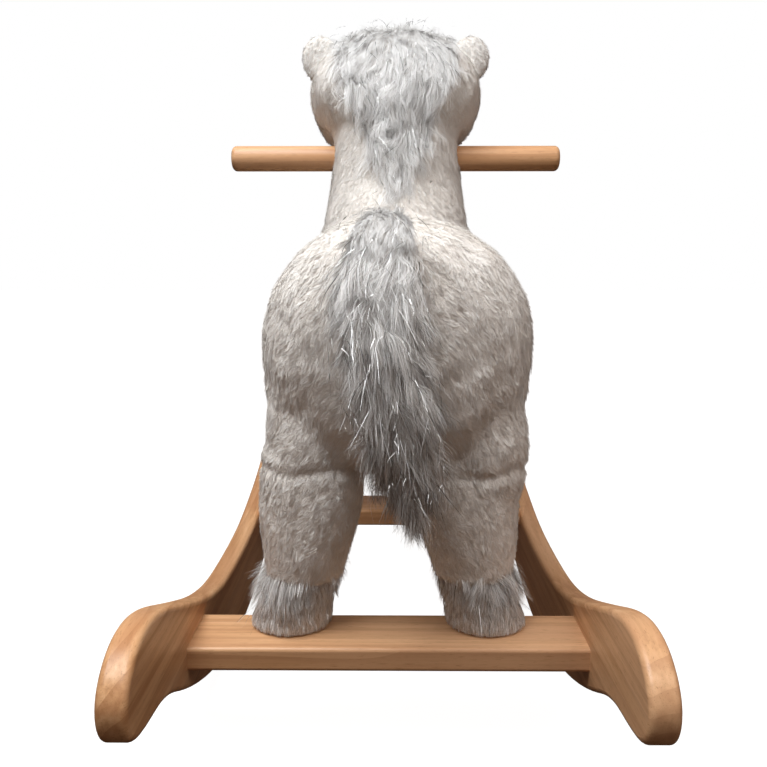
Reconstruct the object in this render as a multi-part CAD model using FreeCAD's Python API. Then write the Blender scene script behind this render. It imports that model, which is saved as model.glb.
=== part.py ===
import FreeCAD, Part
import math
import os

# Rocking horse: a plush pony standing on two wooden rockers joined by two crossbars.
# Millimetres, +Z up, the horse faces -Y. The origin is on the floor under the middle of the rockers.

Vector = FreeCAD.Vector
UP = Vector(0, 0, 1)
SIDE = Vector(1, 0, 0)
BACK = Vector(0, 1, 0)

# ---- driving dimensions -------------------------------------------------------------------------
fit_gap = 0.1                 # round hardware in its wooden hole
soft_gap = 0.3                # plush beside the piece it is pulled over

rocker_spacing = 290.0        # between the rockers' inner faces
rocker_thickness = 19.0
rocker_edge_round = 4.0
contact_y = -12.0             # where the rockers stand on the floor
contact_radius = 600.0
arc_rear_y = 250.0            # the floor arc ends here, at the rear and the front paddle
arc_front_y = -264.0

crossbar_top = 83.0
crossbar_depth = 60.0
crossbar_thickness = 18.0
crossbar_edge_round = 3.0
rear_crossbar_y = 200.0
front_crossbar_y = -136.0

bolt_radius = 2.5
bolt_head_radius = 4.25
bolt_head_height = 5.0
bolt_length = 50.0            # with its head
bolt_socket_radius = 2.0
bolt_socket_depth = 3.0
counterbore_depth = 5.5
bolt_pitch = 24.0
bolt_height = 71.5
front_bolt_shift = -6.0
barrel_nut_radius = 5.0
barrel_nut_length = 12.0
barrel_nut_inset = 28.0       # from the crossbar's end to the nut's centre
barrel_nut_depth = 0.5        # how far the nut sits inside the bar's underside

post_radius = 13.0
post_x = 66.0
rear_post_y = 186.0
front_post_y = -132.0
seat_board_bottom = 232.0
seat_board_thickness = 18.0
seat_board_top = seat_board_bottom + seat_board_thickness
seat_board_half_width = 77.0
seat_board_rear = 205.0
seat_board_front = -151.0
seat_board_corner = 22.0
screw_radius = 2.5
screw_head_radius = 5.0
post_screw_length = 50.0

neck_board_thickness = 18.0
cleat_size = 30.0             # square battens on both sides of the neck board's foot
cleat_rear = -50.0
cleat_front = -134.0
cleat_screw_ys = (-74.0, -112.0)
cleat_screw_length = 35.0
neck_screw_ys = (-62.0, -108.0)
neck_screw_length = 55.0
handle_radius = 12.5
handle_length = 330.0
handle_y = -80.0
handle_z = 459.0
handle_end_round = 5.0
handle_screw_y = -52.2        # on the neck board's rear edge
handle_screw_length = 32.0

lean = -6.0                   # the stuffed body and the handle sit this far to the horse's right
torso_cut_z = 200.0           # the legs meet the body in this plane
padding = 12.0                # the body's pile, cloth and foam round its loose fibre filling
thigh_z = 228.0
thigh_half_sizes = (39.0, 41.0, 72.0)
leg_x = 63.0
leg_top_radius = 34.0
leg_foot_radius = 31.0
leg_foot_z = 117.0
hoof_x = 70.0
hoof_top_z = 116.5
hoof_radius = 30.5
hoof_taper = 3.0              # how much narrower the hoof is at its top
hoof_toe = 3.0                # how far the hoof stands out in front of its leg
hoof_edge_round = 4.0
cuff_top_z = 143.0
cuff_flare = 7.0              # how far the fetlock's pile stands out at its foot and at its top
cuff_thickness = 3.0

ear_half_sizes = (19.0, 8.0, 27.0)
ear_tilt = 14.0
ear_at = Vector(71 + lean, -100, 556)
eye_radius = 11.0
eye_at = Vector(62 + lean, -160, 520)
eye_stem_radius = 2.5
eye_stem_depth = 14.0         # how far the stem goes into the head
eye_washer_radius = 9.0
eye_washer_thickness = 2.0
eye_washer_depth = 10.0

crest_split_y = -118.0        # where the mane ends and the forelock begins
tail_root = Vector(0, 208, 379)
dock_radius = 9.0

os.makedirs("parts", exist_ok=True)


# ---- helpers ------------------------------------------------------------------------------------
def save(name, shape):
    """Write one piece, or one group of like pieces, as its own STEP file."""
    if isinstance(shape, list):
        shape = Part.makeCompound(shape)
    assert shape.isValid(), name
    print(f"{name:26s} solids {len(shape.Solids)}  volume {shape.Volume / 1000:9.1f} cm3")
    shape.exportStep(f"parts/{name}.step")


def box(low, high):
    return Part.makeBox(high[0] - low[0], high[1] - low[1], high[2] - low[2], Vector(*low))


def rod(radius, length, start, axis):
    return Part.makeCylinder(radius, length, start, axis)


def mirrored(shape):
    """The same piece on the horse's other side."""
    return shape.mirror(Vector(0, 0, 0), SIDE)


def across_the_head(shape):
    """The same piece on the other side of the leaning head."""
    return shape.mirror(Vector(lean, 0, 0), SIDE)


def biggest(shape):
    """The largest solid left by a cut."""
    return max(shape.Solids, key=lambda solid: solid.Volume)


def ellipsoid(centre, half_sizes):
    matrix = FreeCAD.Matrix()
    matrix.scale(Vector(*half_sizes))
    ball = Part.makeSphere(1.0).transformGeometry(matrix)
    ball.translate(centre)
    return ball


def oval(centre, across, upward, half_across, half_up, squareness=2.0, points=20):
    """A closed smooth wire: an ellipse, or a squarer oval when squareness is above 2."""
    ring = []
    for i in range(points):
        angle = 2 * math.pi * (i + 0.5) / points
        c = math.cos(angle)
        s = math.sin(angle)
        x = half_across * math.copysign(abs(c) ** (2 / squareness), c)
        z = half_up * math.copysign(abs(s) ** (2 / squareness), s)
        ring.append(centre + across * x + upward * z)
    curve = Part.BSplineCurve()
    curve.interpolate(Points=ring, PeriodicFlag=True)
    return Part.Wire(curve.toShape())


def limb(stations, squareness=2.0):
    """A solid through ovals set square to a path in the plane x = const.

    Each station is (x, y, z, half width, half thickness).
    """
    wires = []
    for i, (x, y, z, half_width, half_thick) in enumerate(stations):
        before = stations[max(i - 1, 0)]
        after = stations[min(i + 1, len(stations) - 1)]
        along = Vector(0, after[1] - before[1], after[2] - before[2]).normalize()
        normal = SIDE.cross(along)
        wires.append(oval(Vector(x, y, z), SIDE, normal, half_width, half_thick, squareness))
    return Part.makeLoft(wires, True)


# ---- rockers ------------------------------------------------------------------------------------
def arc_height(y):
    """Height of the rocker's round underside above the floor."""
    return contact_radius - math.sqrt(contact_radius ** 2 - (y - contact_y) ** 2)


def rocker_outline():
    """A long floor arc, a rounded paddle at each end and a dip along the top."""
    stations = 9
    step = (arc_rear_y - arc_front_y) / (stations - 1)
    floor_arc = [Vector(0, arc_rear_y - i * step, arc_height(arc_rear_y - i * step)) for i in range(stations)]
    front_paddle = [(-300, 60.0), (-344, 64.0), (-364, 78.0), (-367, 95.0), (-352, 112.0), (-318, 120.0)]
    top = [
        (-275, 114.0), (-229, 101.0), (-155, 85.5), (-88, 76.0), (-20, 73.0), (45, 74.0), (90, 77.5),
        (130, 85.0), (165, 94.5), (199, 106.0), (250, 124.5), (280, 135.0),
    ]
    rear_paddle = [(318, 141.5), (350, 133.0), (367, 112.0), (362, 91.5), (340, 81.5), (296, 76.5)]
    points = floor_arc + [Vector(0, y, z) for y, z in front_paddle + top + rear_paddle]
    curve = Part.BSplineCurve()
    curve.interpolate(Points=points, PeriodicFlag=True)
    return Part.Wire(curve.toShape())


def bolt_places():
    """(y, side) of each rocker bolt."""
    return [
        (bar_y + shift + step * bolt_pitch / 2, side)
        for bar_y, shift in ((rear_crossbar_y, 0.0), (front_crossbar_y, front_bolt_shift))
        for step in (-1, 1)
        for side in (-1, 1)
    ]


def side_rod(radius, inner_x, outer_x, y, z, side):
    """A rod along X between two distances from the middle, on one side."""
    return rod(radius, outer_x - inner_x, Vector(side * inner_x, y, z), Vector(side, 0, 0))


inner_face = rocker_spacing / 2
outer_face = inner_face + rocker_thickness
head_seat = outer_face - counterbore_depth
reach = 1.0                   # how far a cutting shape runs past the piece it cuts
crossbar_bottom = crossbar_top - crossbar_thickness
nut_x = inner_face - barrel_nut_inset


def rocker(side):
    face = Part.Face(rocker_outline())
    board = face.extrude(Vector(rocker_thickness, 0, 0))
    rims = [edge for edge in board.Edges if abs(edge.BoundBox.XMax - edge.BoundBox.XMin) < 0.01]
    board = board.makeFillet(rocker_edge_round, rims)
    board.translate(Vector(inner_face, 0, 0))
    if side < 0:
        board = mirrored(board)
    near_x = inner_face - reach
    far_x = outer_face + reach
    for y, bolt_side in bolt_places():
        if bolt_side == side:
            hole = side_rod(bolt_radius + fit_gap, near_x, far_x, y, bolt_height, side)
            seat = side_rod(bolt_head_radius + 2 * fit_gap, head_seat, far_x, y, bolt_height, side)
            board = board.cut(hole).cut(seat)
    return biggest(board)


def bolt(y, side):
    """Socket-head bolt: head in the rocker's counterbore, shank into the barrel nut."""
    head_top = head_seat + bolt_head_height
    shank = side_rod(bolt_radius, head_top - bolt_length, head_seat, y, bolt_height, side)
    head = side_rod(bolt_head_radius, head_seat, head_top, y, bolt_height, side)
    socket_floor = head_top - bolt_socket_depth
    socket = side_rod(bolt_socket_radius, socket_floor, head_top + reach, y, bolt_height, side)
    return shank.fuse(head).cut(socket)


def barrel_nut(y, side):
    base = Vector(side * nut_x, y, crossbar_bottom + barrel_nut_depth)
    nut = rod(barrel_nut_radius, barrel_nut_length, base, UP)
    half_hole = barrel_nut_radius + reach
    hole = side_rod(bolt_radius + fit_gap, nut_x - half_hole, nut_x + half_hole, y, bolt_height, side)
    return nut.cut(hole)


# ---- crossbars, posts and boards ----------------------------------------------------------------
def crossbar(bar_y, post_y):
    """Flat bar between the rockers, drilled for the bolts, barrel nuts and leg screws."""
    bar = box(
        (-inner_face, bar_y - crossbar_depth / 2, crossbar_bottom),
        (inner_face, bar_y + crossbar_depth / 2, crossbar_top),
    )
    long_edges = [edge for edge in bar.Edges if edge.Length > crossbar_depth + 1]
    bar = bar.makeFillet(crossbar_edge_round, long_edges)
    hole_end = nut_x - barrel_nut_radius - reach
    pocket_height = reach + barrel_nut_depth + barrel_nut_length + fit_gap
    for y, side in bolt_places():
        if abs(y - bar_y) < crossbar_depth / 2:
            hole = side_rod(bolt_radius + fit_gap, hole_end, inner_face + reach, y, bolt_height, side)
            pocket_base = Vector(side * nut_x, y, crossbar_bottom - reach)
            pocket = rod(barrel_nut_radius + fit_gap, pocket_height, pocket_base, UP)
            bar = bar.cut(hole).cut(pocket)
    for side in (-1, 1):
        head = Vector(side * post_x, post_y, crossbar_bottom)
        bar = bar.cut(wood_screw(head, UP, post_screw_length, fit_gap))
    return biggest(bar)


def wood_screw(head, axis, length, gap=0.0):
    """Countersunk wood screw, its flat head flush at the head point."""
    head_height = screw_head_radius - screw_radius
    cone = Part.makeCone(screw_head_radius + gap, screw_radius + gap, head_height, head, axis)
    shank = rod(screw_radius + gap, length + gap, head, axis)
    return cone.fuse(shank)


def leg_post(side, y):
    post = rod(post_radius, seat_board_bottom - crossbar_top, Vector(side * post_x, y, crossbar_top), UP)
    for head, axis in post_screw_heads(side, y):
        post = post.cut(wood_screw(head, axis, post_screw_length, fit_gap))
    return post


def post_screw_heads(side, y):
    foot = Vector(side * post_x, y, crossbar_bottom)
    top = Vector(side * post_x, y, seat_board_top)
    return [(foot, UP), (top, UP * -1)]


post_places = [(side, y) for y in (rear_post_y, front_post_y) for side in (1, -1)]


def seat_board(gap=0.0):
    """Plywood board inside the body: it carries the rider and ties the four posts together."""
    board = box(
        (-seat_board_half_width - gap, seat_board_front - gap, seat_board_bottom - gap),
        (seat_board_half_width + gap, seat_board_rear + gap, seat_board_top + gap),
    )
    corners = [edge for edge in board.Edges if abs(edge.BoundBox.ZMax - edge.BoundBox.ZMin) > 1]
    return board.makeFillet(seat_board_corner, corners)


def cleat():
    """Batten in the corner between the seat board and the neck board."""
    inner = neck_board_thickness / 2
    block = box(
        (inner, cleat_front, seat_board_top), (inner + cleat_size, cleat_rear, seat_board_top + cleat_size)
    )
    for screw in cleat_screws(1, fit_gap):
        block = block.cut(screw)
    return block


def cleat_screws(side, gap=0.0):
    """Screws up through the seat board into one cleat."""
    x = side * (neck_board_thickness + cleat_size) / 2
    places = [Vector(x, y, seat_board_bottom) for y in cleat_screw_ys]
    return [wood_screw(place, UP, cleat_screw_length, gap) for place in places]


def drilled_seat_board():
    board = seat_board()
    for side in (-1, 1):
        for screw in cleat_screws(side, fit_gap):
            board = board.cut(screw)
    for side, y in post_places:
        head, axis = post_screw_heads(side, y)[1]
        board = board.cut(wood_screw(head, axis, post_screw_length, fit_gap))
    for y in neck_screw_ys:
        head = Vector(0, y, seat_board_bottom)
        board = board.cut(wood_screw(head, UP, neck_screw_length, fit_gap))
    return board


def neck_board(gap=0.0):
    """Plywood plate standing on the seat board, up through the neck, drilled for the handle."""
    outline = [
        Vector(0, -48, seat_board_top), Vector(0, -50, 400), Vector(0, -54, 500),
        Vector(0, -66, 545), Vector(0, -150, 540), Vector(0, -150, 490), Vector(0, -112, 440),
        Vector(0, -134, seat_board_top),
    ]
    face = Part.Face(Part.makePolygon(outline + outline[:1]))
    plate = face.extrude(Vector(neck_board_thickness, 0, 0))
    plate.translate(Vector(-neck_board_thickness / 2, 0, 0))
    if gap:
        plate = plate.makeOffsetShape(gap, 0.01, join=2)
    return plate


def handle(gap=0.0):
    start = Vector(lean - handle_length / 2, handle_y, handle_z)
    dowel = rod(handle_radius + gap, handle_length, start, SIDE)
    if gap:
        return dowel
    dowel = dowel.makeFillet(handle_end_round, [edge for edge in dowel.Edges if len(edge.Vertexes) == 1])
    return dowel.cut(handle_screw(fit_gap))


def handle_screw(gap=0.0):
    """Screw from the neck board's rear edge into the handle."""
    return wood_screw(Vector(0, handle_screw_y, handle_z), BACK * -1, handle_screw_length, gap)


# ---- plush --------------------------------------------------------------------------------------
def torso_loft(inset=0.0):
    """The barrel of the body from rump to chest, or the hollow at a depth inside it."""
    stations = [          # y, half width, lowest z, highest z
        (238, 38, 262, 336), (231, 66, 236, 361), (216, 88, 212, 377), (190, 101, 196, 387),
        (150, 105, 190, 390), (90, 102, 188, 385), (30, 95, 188, 382), (-40, 92, 188, 390),
        (-100, 91, 190, 388), (-140, 84, 194, 376), (-165, 70, 206, 356), (-179, 48, 226, 334),
        (-185, 26, 248, 312),
    ]
    rear = stations[0][0]
    front = stations[-1][0]
    middle = (rear + front) / 2
    shrink = 1 - 2 * inset / (rear - front)
    wires = []
    for y, half_width, low, high in stations:
        if inset:
            low = max(low, torso_cut_z) + inset
            high = high - inset
        centre = Vector(lean, middle + (y - middle) * shrink, (low + high) / 2)
        wires.append(oval(centre, SIDE, UP, half_width - inset, (high - low) / 2, squareness=2.5))
    return Part.makeLoft(wires, True)


def torso():
    """The stuffed body with its four thighs, flat where the legs meet it."""
    body = torso_loft()
    for side, y in post_places:
        body = body.fuse(ellipsoid(Vector(side * leg_x + lean, y, thigh_z), thigh_half_sizes))
    return body.cut(box((-200, -300, 100), (200, 300, torso_cut_z)))


def neck(gap=0.0):
    stations = [          # y, z, half width, half thickness
        (-70, 330, 84, 88), (-76, 375, 78, 84), (-80, 405, 72, 72), (-82, 435, 66, 62),
        (-84, 470, 63, 58), (-88, 510, 60, 55),
    ]
    return limb([(lean, y, z, wide + gap, thick + gap) for y, z, wide, thick in stations])


def head(gap=0.0):
    """Back of the skull to the muzzle along a line that drops forward."""
    stations = [          # distance along the head, half width, half height
        (0, 40, 34), (8, 64, 50), (24, 80, 60), (55, 87, 64), (90, 84, 62), (125, 68, 54),
        (160, 52, 46), (200, 46, 42), (228, 42, 38), (244, 30, 28), (250, 18, 16),
    ]
    start = Vector(lean, -40, 546)
    slope = math.radians(20)
    along = Vector(0, -math.cos(slope), -math.sin(slope))
    upward = SIDE.cross(along) * -1
    wires = []
    for distance, half_width, half_height in stations:
        centre = start + along * distance
        wires.append(oval(centre, SIDE, upward, half_width + gap, half_height + gap, squareness=2.2))
    return Part.makeLoft(wires, True)


def ear():
    shape = ellipsoid(Vector(0, 0, 0), ear_half_sizes)
    shape.rotate(Vector(0, 0, 0), BACK, ear_tilt)
    shape.translate(ear_at)
    return shape


def crest():
    """The band of long pile from the forehead, over the crown and down the back of the neck."""
    stations = [          # y, z, half width, half thickness
        (-178, 556, 26, 8), (-160, 574, 34, 12), (-122, 588, 42, 13), (-80, 589, 46, 13),
        (-50, 570, 50, 14), (-34, 535, 50, 14), (-28, 500, 48, 13), (-22, 465, 42, 12),
        (-14, 438, 30, 8),
    ]
    return limb([(lean, y, z, wide, thick) for y, z, wide, thick in stations])


def tail():
    return limb([
        (0, 213, 387.5, 10, 4.5), (0, 226, 387, 16, 7.5), (0, 242, 376, 21, 9), (0, 252, 352, 24, 9),
        (-2, 258, 315, 28, 10.5), (-6, 259, 270, 31, 12), (-12, 256, 225, 28, 12),
        (-17, 252, 190, 18, 9), (-18, 250, 168, 7, 5),
    ])


def hoof(side, y):
    """Stuffed fabric hoof, wider at the ground than at the fetlock."""
    base = Vector(side * hoof_x, y - hoof_toe, crossbar_top)
    shape = Part.makeCone(hoof_radius, hoof_radius - hoof_taper, hoof_top_z - crossbar_top, base, UP)
    rims = [edge for edge in shape.Edges if len(edge.Vertexes) == 1]
    shape = shape.makeFillet(hoof_edge_round, rims)
    return shape.cut(post_space(side, y))


def leg(side, y):
    shape = Part.makeCone(
        leg_foot_radius, leg_top_radius, torso_cut_z - leg_foot_z, Vector(side * leg_x, y, leg_foot_z), UP
    )
    return shape.cut(post_space(side, y))


def fetlock(side, y):
    """Ring of long pile round the bottom of the leg."""
    base = Vector(side * leg_x, y, leg_foot_z)
    rise = cuff_top_z - leg_foot_z
    outer = Part.makeCone(leg_foot_radius + cuff_flare, leg_foot_radius + cuff_thickness, rise, base, UP)
    growth = (leg_top_radius - leg_foot_radius) * rise / (torso_cut_z - leg_foot_z)
    inner = Part.makeCone(leg_foot_radius + soft_gap, leg_foot_radius + growth + soft_gap, rise, base, UP)
    return outer.cut(inner)


def post_space(side, y):
    """The room that a post takes through the hoof, the leg and the body."""
    height = seat_board_top - crossbar_top
    return rod(post_radius + soft_gap, height, Vector(side * post_x, y, crossbar_top - reach), UP)


def eye(gap=0.0):
    """Domed eye on a stem."""
    radius = eye_radius + gap
    inward = Vector(-1, 0, 0)
    dome = Part.makeSphere(radius, eye_at)
    behind = rod(radius + reach, radius + reach, eye_at - SIDE * gap, inward)
    stem = rod(eye_stem_radius + gap, eye_stem_depth + reach, eye_at + SIDE * reach, inward)
    return dome.cut(behind).fuse(stem)


def eye_washer(gap=0.0):
    """Lock washer pressed onto the eye's stem."""
    face = eye_at - SIDE * (eye_washer_depth + gap)
    disc = rod(eye_washer_radius + gap, eye_washer_thickness + 2 * gap, face, SIDE)
    if gap:
        return disc
    return disc.cut(rod(eye_stem_radius + fit_gap, eye_stem_depth, face - SIDE * reach, SIDE))


# ---- wooden frame -------------------------------------------------------------------------------
save("left_rocker", rocker(1))
save("right_rocker", rocker(-1))
save("rear_crossbar", crossbar(rear_crossbar_y, rear_post_y))
save("front_crossbar", crossbar(front_crossbar_y, front_post_y))
save("rocker_bolts", [bolt(y, side) for y, side in bolt_places()])
save("barrel_nuts", [barrel_nut(y, side) for y, side in bolt_places()])

save("seat_board", drilled_seat_board())
post_screws = [post_screw_heads(side, y) for side, y in post_places]
save("leg_foot_screws", [wood_screw(*heads[0], post_screw_length) for heads in post_screws])
save("leg_top_screws", [wood_screw(*heads[1], post_screw_length) for heads in post_screws])

neck_screws = [
    wood_screw(Vector(0, y, seat_board_bottom), UP, neck_screw_length) for y in neck_screw_ys
]
handle_hole_start = Vector(-neck_board_thickness, handle_y, handle_z)
plate = neck_board().cut(rod(handle_radius + fit_gap, 2 * neck_board_thickness, handle_hole_start, SIDE))
plate = plate.cut(handle_screw(fit_gap))
for y in neck_screw_ys:
    plate = plate.cut(wood_screw(Vector(0, y, seat_board_bottom), UP, neck_screw_length, fit_gap))
save("neck_board", biggest(plate))
save("neck_screws", neck_screws)
save("left_neck_cleat", cleat())
save("right_neck_cleat", mirrored(cleat()))
save("cleat_screws", cleat_screws(1) + cleat_screws(-1))
save("handle_bar", handle())
save("handle_screw", handle_screw())

# ---- plush pony ---------------------------------------------------------------------------------
cleat_reach = neck_board_thickness / 2 + cleat_size + soft_gap
cleat_space = box(
    (-cleat_reach, cleat_front - soft_gap, seat_board_top - reach),
    (cleat_reach, cleat_rear + soft_gap, seat_board_top + cleat_size + soft_gap),
)
board_space = seat_board(soft_gap).fuse(neck_board(soft_gap)).fuse(cleat_space)
handle_space = handle(soft_gap)

body = torso().cut(torso_loft(padding))
for side, y in post_places:
    body = body.cut(post_space(side, y))
body = body.cut(board_space)
body = body.cut(Part.makeSphere(dock_radius + soft_gap, tail_root))
save("torso_plush", biggest(body))

skull = head()
collar = neck().cut(torso()).cut(skull)
collar = collar.cut(board_space).cut(handle_space).cut(handle_screw(soft_gap))
save("neck_plush", biggest(collar))

skull_space = board_space.fuse(handle_space)
filled_skull = skull.cut(skull_space)
for shape in (eye(soft_gap), eye_washer(soft_gap)):
    filled_skull = filled_skull.cut(shape).cut(across_the_head(shape))
save("head_plush", biggest(filled_skull))

clear_of_head = head(soft_gap)
crest_pile = crest().cut(clear_of_head).cut(neck(soft_gap)).cut(torso())
mane_side = box((-100, crest_split_y, 380), (100, 60, 640))
forelock_side = box((-100, -260, 380), (100, crest_split_y - soft_gap, 640))
save("mane", biggest(crest_pile.common(mane_side)))
save("forelock", biggest(crest_pile.common(forelock_side)))

left_ear = biggest(ear().cut(clear_of_head))
save("left_ear", left_ear)
save("right_ear", across_the_head(left_ear))
save("left_eye", eye())
save("right_eye", across_the_head(eye()))
save("eye_washers", [eye_washer(), across_the_head(eye_washer())])

for end, y in (("rear", rear_post_y), ("front", front_post_y)):
    for hand, side in (("left", 1), ("right", -1)):
        save(f"{end}_{hand}_leg_post", leg_post(side, y))
        save(f"{end}_{hand}_leg", leg(side, y))
        save(f"{end}_{hand}_fetlock", fetlock(side, y))
        save(f"{end}_{hand}_hoof", hoof(side, y))

dock = Part.makeSphere(dock_radius, tail_root)
save("tail_dock", dock)
save("tail", biggest(tail().cut(Part.makeSphere(dock_radius + soft_gap, tail_root))))
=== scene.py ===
import math

import bmesh
import bpy
import numpy as np
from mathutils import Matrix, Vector
from mathutils.bvhtree import BVHTree
from mathutils.kdtree import KDTree


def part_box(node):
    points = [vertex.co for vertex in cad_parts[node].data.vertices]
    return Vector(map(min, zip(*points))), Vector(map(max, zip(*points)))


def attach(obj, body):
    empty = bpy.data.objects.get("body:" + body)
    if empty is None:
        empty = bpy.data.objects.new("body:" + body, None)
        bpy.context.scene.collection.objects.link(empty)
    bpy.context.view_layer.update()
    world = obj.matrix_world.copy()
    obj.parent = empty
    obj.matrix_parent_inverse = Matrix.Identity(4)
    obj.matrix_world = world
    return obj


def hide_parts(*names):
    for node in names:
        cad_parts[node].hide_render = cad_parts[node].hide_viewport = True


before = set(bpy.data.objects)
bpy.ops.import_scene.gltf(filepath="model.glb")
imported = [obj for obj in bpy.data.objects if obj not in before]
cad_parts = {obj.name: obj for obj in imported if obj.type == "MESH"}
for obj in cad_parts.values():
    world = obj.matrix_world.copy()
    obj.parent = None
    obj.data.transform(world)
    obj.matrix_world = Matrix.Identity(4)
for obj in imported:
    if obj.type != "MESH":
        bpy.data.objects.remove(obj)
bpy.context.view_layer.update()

# The looks of a plush rocking horse. Metres; +Z is up, the horse faces -Y and its left is +X.

MM = 0.001
UP = np.array([0.0, 0.0, 1.0])
LEGS = [(end, hand) for end in ("rear", "front") for hand in ("left", "right")]


# ---- places read from the frame -----------------------------------------------------------------
def corners(node):
    low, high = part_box(node)
    return np.array(low), np.array(high)


def middle(node):
    low, high = corners(node)
    return (low + high) / 2


torso_low, torso_high = corners("torso_plush")
handle_at = middle("handle_bar")
dock_at = middle("tail_dock")
crossbar_top = corners("rear_crossbar")[1][2]
leg_top = corners("rear_left_leg")[1][2]
rear_y = middle("rear_left_leg")[1]

lean = handle_at[0]            # the stuffed body sits a little to the horse's right
pile_depth = 2.2 * MM          # how far the short pile stands out from its backing cloth
crease_z = leg_top + 9 * MM    # the fold where the thigh meets the lower leg
cuff_z = middle("rear_left_fetlock")[2] - 8 * MM
neck_seam_z = handle_at[2] - 54 * MM


# ---- numpy helpers ------------------------------------------------------------------------------
def unit(vectors):
    length = np.linalg.norm(vectors, axis=-1, keepdims=True)
    return vectors / np.maximum(length, 1e-9)


def ripple(points, wavelength, seed):
    """Smooth random heights between about -1 and 1, with hills a wavelength apart."""
    rng = np.random.default_rng(seed)
    waves = 16
    heading = unit(rng.normal(size=(waves, 3)))
    turns = 2 * math.pi / wavelength * rng.uniform(0.6, 1.5, waves)
    phase = rng.uniform(0, 2 * math.pi, waves)
    return np.sin(points @ heading.T * turns + phase).sum(axis=1) / math.sqrt(waves)


def ripple_vectors(points, wavelength, seed):
    return np.stack([ripple(points, wavelength, seed + i) for i in range(3)], axis=1)


def bell(values, centre, width):
    return np.exp(-(((values - centre) / width) ** 2))


def mesh_object(name, vertices, faces, smooth=True):
    mesh = bpy.data.meshes.new(name)
    mesh.from_pydata([tuple(v) for v in vertices], [], faces)
    mesh.validate()
    if smooth:
        mesh.shade_smooth()
    piece = bpy.data.objects.new(name, mesh)
    bpy.context.collection.objects.link(piece)
    return piece


def paint(piece, material):
    piece.data.materials.clear()
    piece.data.materials.append(material)


def arrays(piece):
    """Points, normals and triangles of a mesh."""
    mesh = piece.data
    points = np.empty(len(mesh.vertices) * 3)
    mesh.vertices.foreach_get("co", points)
    normals = np.empty(len(mesh.vertices) * 3)
    mesh.vertices.foreach_get("normal", normals)
    mesh.calc_loop_triangles()
    triangles = np.empty(len(mesh.loop_triangles) * 3, dtype=np.int32)
    mesh.loop_triangles.foreach_get("vertices", triangles)
    return points.reshape(-1, 3), normals.reshape(-1, 3), triangles.reshape(-1, 3)


# ---- soft shapes --------------------------------------------------------------------------------
def ring(centre, across, upward, half_across, half_up, squareness=2.0, points=40):
    """Points of an oval, squarer when squareness is above 2."""
    angle = 2 * math.pi * (np.arange(points) + 0.5) / points
    c, s = np.cos(angle), np.sin(angle)
    x = half_across * np.sign(c) * np.abs(c) ** (2 / squareness)
    z = half_up * np.sign(s) * np.abs(s) ** (2 / squareness)
    return np.array(centre) + np.outer(x, across) + np.outer(z, upward)


def loft(name, rings):
    """A closed skin through rings of equal length."""
    count = len(rings[0])
    vertices = np.concatenate(rings)
    faces = []
    for i in range(len(rings) - 1):
        for j in range(count):
            k = (j + 1) % count
            faces.append((i * count + j, i * count + k, (i + 1) * count + k, (i + 1) * count + j))
    faces.append(tuple(range(count - 1, -1, -1)))
    faces.append(tuple(range(len(vertices) - count, len(vertices))))
    piece = mesh_object(name, vertices, faces)
    outward(piece)
    return piece


def outward(piece):
    work = bmesh.new()
    work.from_mesh(piece.data)
    bmesh.ops.recalc_face_normals(work, faces=work.faces)
    work.to_mesh(piece.data)
    work.free()


def tube(name, stations, squareness=2.0):
    """A limb through ovals set square to a path; each station is (x, y, z, half width, half thickness)."""
    path = np.array([station[:3] for station in stations])
    rings = []
    for i, station in enumerate(stations):
        along = unit(path[min(i + 1, len(path) - 1)] - path[max(i - 1, 0)])
        across = unit(np.array([1.0, 0.0, 0.0]) - along * along[0])
        rings.append(ring(path[i], across, np.cross(across, along), station[3], station[4], squareness))
    return loft(name, rings)


def ball(name, centre, half_sizes, steps=24):
    centre = np.array(centre)
    rings = []
    for i in range(1, steps):
        angle = math.pi * i / steps
        at = centre + UP * half_sizes[2] * math.cos(angle)
        wide = math.sin(angle)
        rings.append(ring(at, (1, 0, 0), (0, 1, 0), half_sizes[0] * wide, half_sizes[1] * wide))
    return loft(name, rings)


def merged(name, parts, voxel, smoothing):
    """One skin round overlapping shapes, with its joins softened."""
    whole = bmesh.new()
    for part in parts:
        whole.from_mesh(part.data)
        bpy.data.objects.remove(part)
    mesh = bpy.data.meshes.new(name)
    whole.to_mesh(mesh)
    whole.free()
    piece = bpy.data.objects.new(name, mesh)
    bpy.context.collection.objects.link(piece)
    remesh = piece.modifiers.new("remesh", "REMESH")
    remesh.mode = "VOXEL"
    remesh.voxel_size = voxel
    soften = piece.modifiers.new("soften", "SMOOTH")
    soften.factor = 0.5
    soften.iterations = smoothing
    applied(piece)
    return piece


def applied(piece):
    """Replaces the piece's mesh with what its modifiers make of it."""
    bpy.context.view_layer.update()
    graph = bpy.context.evaluated_depsgraph_get()
    mesh = bpy.data.meshes.new_from_object(piece.evaluated_get(graph))
    piece.modifiers.clear()
    piece.data = mesh
    mesh.shade_smooth()


def move_points(piece, points):
    piece.data.vertices.foreach_set("co", points.ravel())
    piece.data.update()


def cut_out(piece, name, planes):
    """A closed copy of the part of a skin on the inner side of every plane (point, outward normal)."""
    work = bmesh.new()
    work.from_mesh(piece.data)
    for point, normal in planes:
        geometry = work.verts[:] + work.edges[:] + work.faces[:]
        cut = bmesh.ops.bisect_plane(
            work, geom=geometry, dist=1e-6, plane_co=Vector(point), plane_no=Vector(normal), clear_outer=True
        )
        edges = [item for item in cut["geom_cut"] if isinstance(item, bmesh.types.BMEdge)]
        bmesh.ops.holes_fill(work, edges=edges)
        for edge in edges:
            edge.smooth = False
    mesh = bpy.data.meshes.new(name)
    work.to_mesh(mesh)
    work.free()
    mesh.shade_smooth()
    part = bpy.data.objects.new(name, mesh)
    bpy.context.collection.objects.link(part)
    return part


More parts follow.
